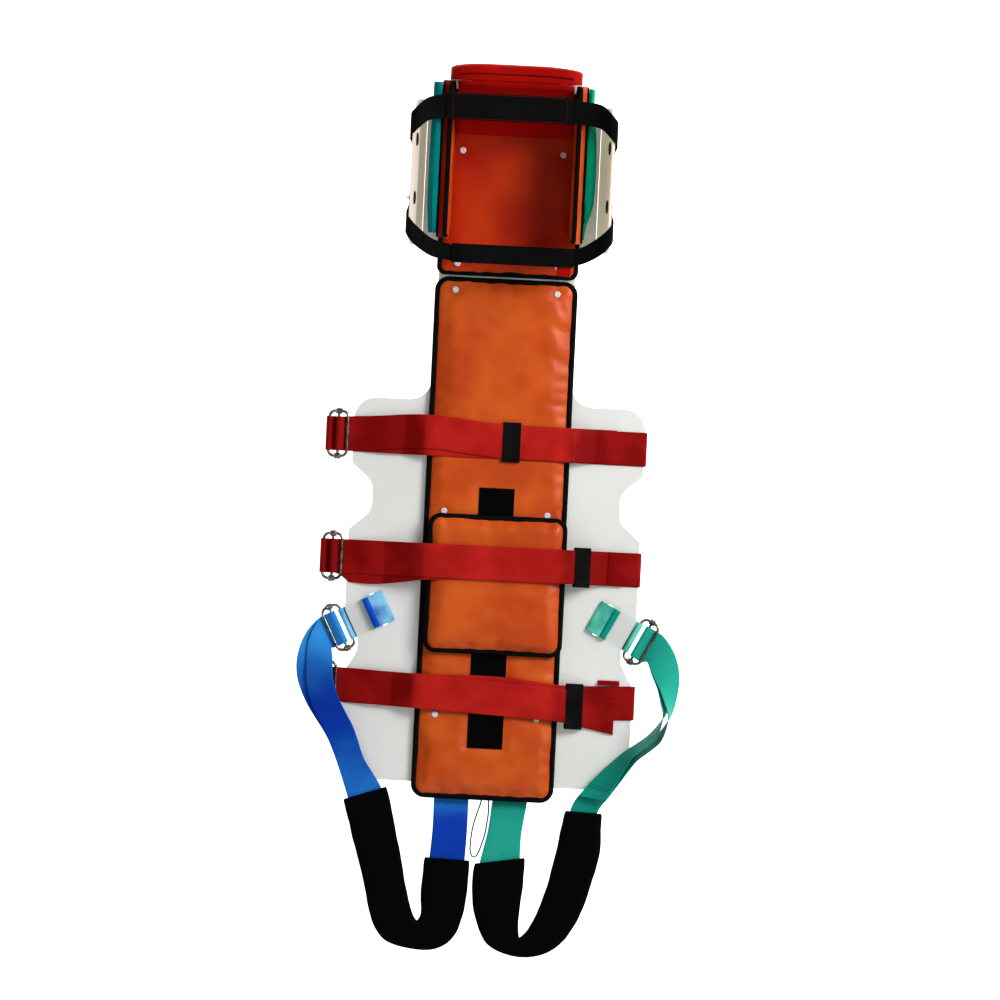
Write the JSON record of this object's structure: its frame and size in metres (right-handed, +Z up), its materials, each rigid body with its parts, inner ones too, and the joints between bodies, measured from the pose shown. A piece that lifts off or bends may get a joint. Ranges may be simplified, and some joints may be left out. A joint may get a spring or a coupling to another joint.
{
  "type": "spine board",
  "caption": "Short spine board of white plastic sheet with orange pads, folding head wings, head straps, red torso straps and padded leg loops.",
  "frame": {"origin": "on the floor under the middle of the whole object's box, the board lying on its back", "axes": "+X across the board to the patient's left, +Y along the spine towards the head, +Z up out of the padded face"},
  "size_m": [0.5638, 1.3086, 0.1465],
  "materials": {
    "board_plastic": "translucent white polyethylene sheet, fine satin",
    "pad_vinyl": "coated vinyl over foam, semi-matt with soft creases",
    "head_vinyl": "red coated vinyl, semi-matt",
    "binding_tape": "black woven binding tape",
    "foam_core": "open-cell foam core",
    "teal_foam": "teal foam, matt",
    "green_foam": "green foam, matt",
    "hook_and_loop": "black hook-and-loop and webbing",
    "white_nylon": "white nylon, smooth",
    "red_webbing": "red polyester webbing",
    "blue_webbing": "blue polyester webbing",
    "green_webbing": "green polyester webbing",
    "buckle_steel": "plated steel wire, worn",
    "sleeve_fabric": "black padded fabric",
    "black_cord": "thin black cord"
  },
  "bodies": {
    "root": {"torso_board": "board_plastic", "torso_pad_cover": "pad_vinyl", "head_pad_cover": "pad_vinyl", "head_roll": "head_vinyl", "torso_pad_binding": "binding_tape", "torso_pad_foam": "foam_core", "loop_strip": "hook_and_loop", "pad_rivet_1": "white_nylon", "pad_rivet_2": "white_nylon", "pad_rivet_3": "white_nylon", "pad_rivet_4": "white_nylon", "pad_rivet_5": "white_nylon", "pad_rivet_6": "white_nylon", "pad_rivet_7": "white_nylon", "pad_rivet_8": "white_nylon", "pad_rivet_9": "white_nylon", "pad_rivet_10": "white_nylon", "torso_strap_1": "red_webbing", "torso_strap_2": "red_webbing", "torso_strap_3": "red_webbing", "torso_anchor_1": "red_webbing", "torso_anchor_2": "red_webbing", "torso_anchor_3": "red_webbing", "leg_strap_left": "blue_webbing", "leg_anchor_left": "blue_webbing", "leg_strap_right": "green_webbing", "leg_anchor_right": "green_webbing", "torso_ring_1": "buckle_steel", "torso_ring_2": "buckle_steel", "torso_ring_3": "buckle_steel", "leg_ring_left": "buckle_steel", "leg_ring_right": "buckle_steel", "leg_sleeve_left": "sleeve_fabric", "leg_sleeve_right": "sleeve_fabric", "foot_tether": "black_cord"},
    "wing_left": {"head_wing_left": "board_plastic", "side_pad_left_face": "pad_vinyl", "side_pad_left_foam": "teal_foam", "forehead_strap_left": "hook_and_loop", "chin_strap_left": "hook_and_loop", "wing_rivet_left_1": "white_nylon", "wing_rivet_left_2": "white_nylon"},
    "wing_right": {"head_wing_right": "board_plastic", "side_pad_right_face": "pad_vinyl", "side_pad_right_foam": "green_foam", "forehead_strap_right": "hook_and_loop", "forehead_pad": "hook_and_loop", "chin_strap_right": "hook_and_loop", "chin_pad": "hook_and_loop", "wing_rivet_right_1": "white_nylon", "wing_rivet_right_2": "white_nylon"},
    "lumbar_pad": {"lumbar_pad_cover": "pad_vinyl"},
    "keeper_1": {"strap_keeper_1": "hook_and_loop"},
    "keeper_2": {"strap_keeper_2": "hook_and_loop"},
    "keeper_3": {"strap_keeper_3": "hook_and_loop"},
    "torso_bar_1": {"torso_bar_1": "buckle_steel"},
    "torso_bar_2": {"torso_bar_2": "buckle_steel"},
    "torso_bar_3": {"torso_bar_3": "buckle_steel"},
    "leg_bar_left": {"leg_bar_left": "buckle_steel"},
    "leg_bar_right": {"leg_bar_right": "buckle_steel"}
  },
  "joints": [
    {"name": "wing_left_fold", "type": "hinge", "parent": "root", "child": "wing_left", "pos_m": [-0.13, 0.492, 0.0038], "axis": [0, -1, 0], "range_deg": [0, 78]},
    {"name": "wing_right_fold", "type": "hinge", "parent": "root", "child": "wing_right", "pos_m": [0.13, 0.492, 0.0038], "axis": [0, 1, 0], "range_deg": [0, 78]},
    {"name": "lumbar_pad_shift", "type": "slide", "parent": "root", "child": "lumbar_pad", "axis": [0, 1, 0], "range_m": [-0.018, 0.05]},
    {"name": "keeper_1_slide", "type": "slide", "parent": "root", "child": "keeper_1", "axis": [1, 0, 0], "range_m": [-0.06, 0.06]},
    {"name": "keeper_2_slide", "type": "slide", "parent": "root", "child": "keeper_2", "axis": [0.8712, 0, -0.4909], "range_m": [-0.002, 0.018]},
    {"name": "keeper_3_slide", "type": "slide", "parent": "root", "child": "keeper_3", "axis": [0.9285, 0, -0.3714], "range_m": [-0.003, 0.004]},
    {"name": "torso_bar_1_slide", "type": "slide", "parent": "root", "child": "torso_bar_1", "axis": [0.9864, 0, 0.1644], "range_m": [-0.001, 0.001]},
    {"name": "torso_bar_2_slide", "type": "slide", "parent": "root", "child": "torso_bar_2", "axis": [0.9864, 0, 0.1644], "range_m": [-0.001, 0.001]},
    {"name": "torso_bar_3_slide", "type": "slide", "parent": "root", "child": "torso_bar_3", "axis": [0.9864, 0, 0.1644], "range_m": [-0.001, 0.001]},
    {"name": "leg_bar_left_slide", "type": "slide", "parent": "root", "child": "leg_bar_left", "axis": [-0.8789, -0.4478, 0.1644], "range_m": [-0.001, 0.001]},
    {"name": "leg_bar_right_slide", "type": "slide", "parent": "root", "child": "leg_bar_right", "axis": [0.8789, -0.4478, 0.1644], "range_m": [-0.001, 0.001]}
  ]
}
